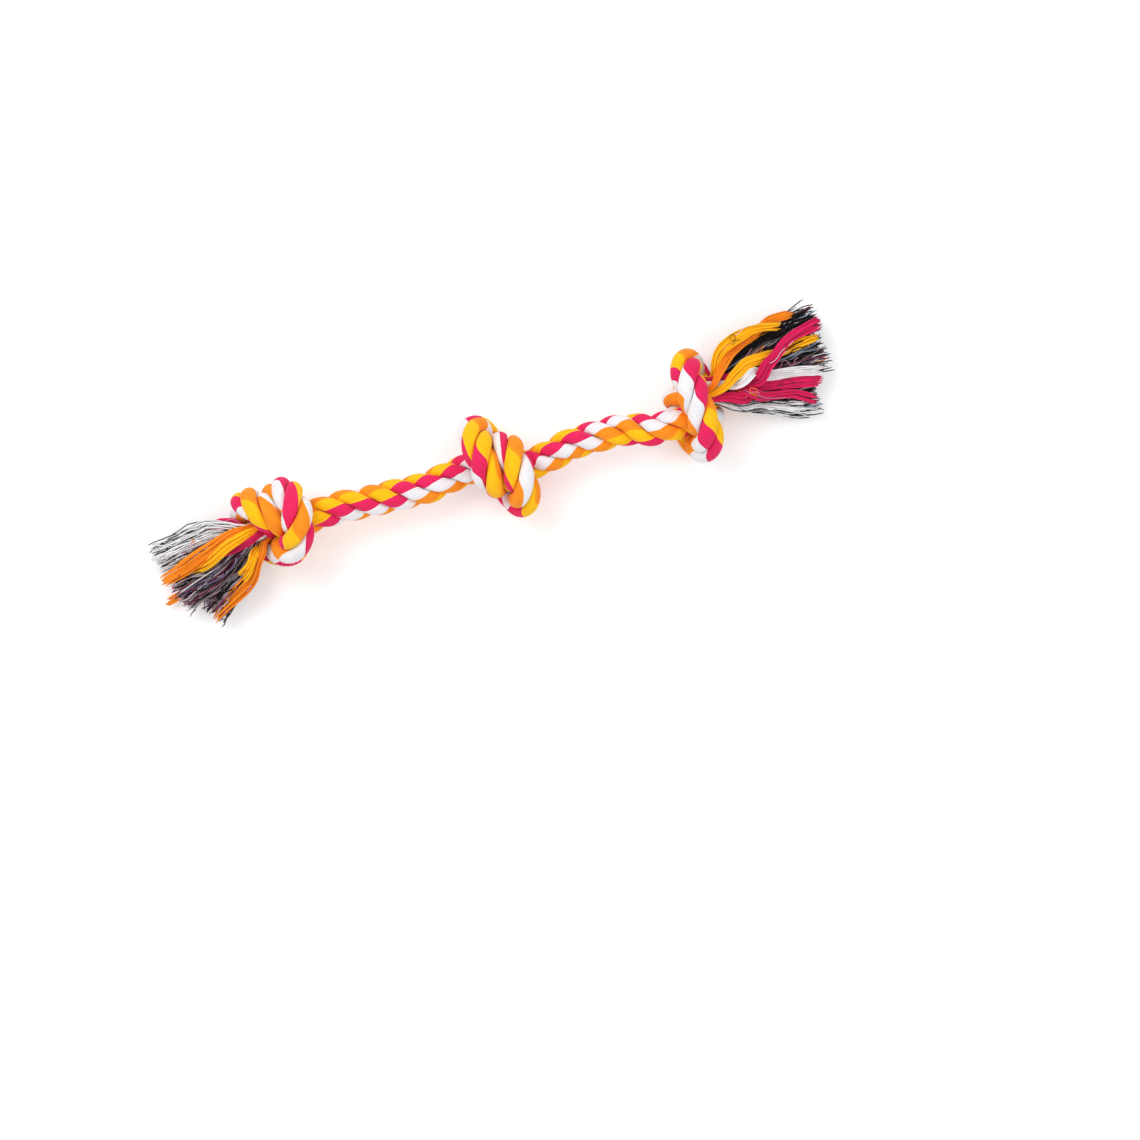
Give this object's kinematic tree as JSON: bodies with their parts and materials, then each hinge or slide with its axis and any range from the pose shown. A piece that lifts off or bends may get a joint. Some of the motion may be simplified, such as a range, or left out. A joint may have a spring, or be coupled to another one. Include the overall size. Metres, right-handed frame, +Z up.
{
  "type": "rope dog toy",
  "caption": "Dog tug and chew toy: thick multicoloured laid cotton rope tied in overhand knots, with a frayed yarn tassel at each end.",
  "frame": {"origin": "under the middle of the toy's bounding box, on the floor it lies on", "axes": "+X along the rope from the left tassel to the right tassel, +Z up from the floor, +Y across the rope"},
  "size_m": [0.4292, 0.0742, 0.0557],
  "materials": {
    "strand_1": "soft matte cotton, orange, yellow, magenta and white yarns laid side by side",
    "strand_2": "soft matte cotton, orange, yellow, magenta and white yarns laid side by side",
    "strand_3": "soft matte cotton, orange, yellow, magenta and white yarns laid side by side",
    "yarn_orange": "soft matte cotton yarn",
    "yarn_yellow": "soft matte cotton yarn",
    "yarn_magenta": "soft matte cotton yarn",
    "yarn_white": "soft matte cotton yarn",
    "yarn_core": "soft matte mixed waste yarn, near black"
  },
  "bodies": {
    "root": {"strand_1": "strand_1", "strand_2": "strand_2", "strand_3": "strand_3", "left_tassel_1_orange": "yarn_orange", "left_tassel_1_yellow": "yarn_yellow", "left_tassel_1_magenta": "yarn_magenta", "left_tassel_1_white": "yarn_white", "left_tassel_1_core": "yarn_core", "left_tassel_2_orange": "yarn_orange", "left_tassel_2_yellow": "yarn_yellow", "left_tassel_2_magenta": "yarn_magenta", "left_tassel_2_white": "yarn_white", "left_tassel_2_core": "yarn_core", "left_tassel_3_orange": "yarn_orange", "left_tassel_3_yellow": "yarn_yellow", "left_tassel_3_magenta": "yarn_magenta", "left_tassel_3_white": "yarn_white", "left_tassel_3_core": "yarn_core", "right_tassel_1_orange": "yarn_orange", "right_tassel_1_yellow": "yarn_yellow", "right_tassel_1_magenta": "yarn_magenta", "right_tassel_1_white": "yarn_white", "right_tassel_1_core": "yarn_core", "right_tassel_2_orange": "yarn_orange", "right_tassel_2_yellow": "yarn_yellow", "right_tassel_2_magenta": "yarn_magenta", "right_tassel_2_white": "yarn_white", "right_tassel_2_core": "yarn_core", "right_tassel_3_orange": "yarn_orange", "right_tassel_3_yellow": "yarn_yellow", "right_tassel_3_magenta": "yarn_magenta", "right_tassel_3_white": "yarn_white", "right_tassel_3_core": "yarn_core"}
  },
  "joints": []
}
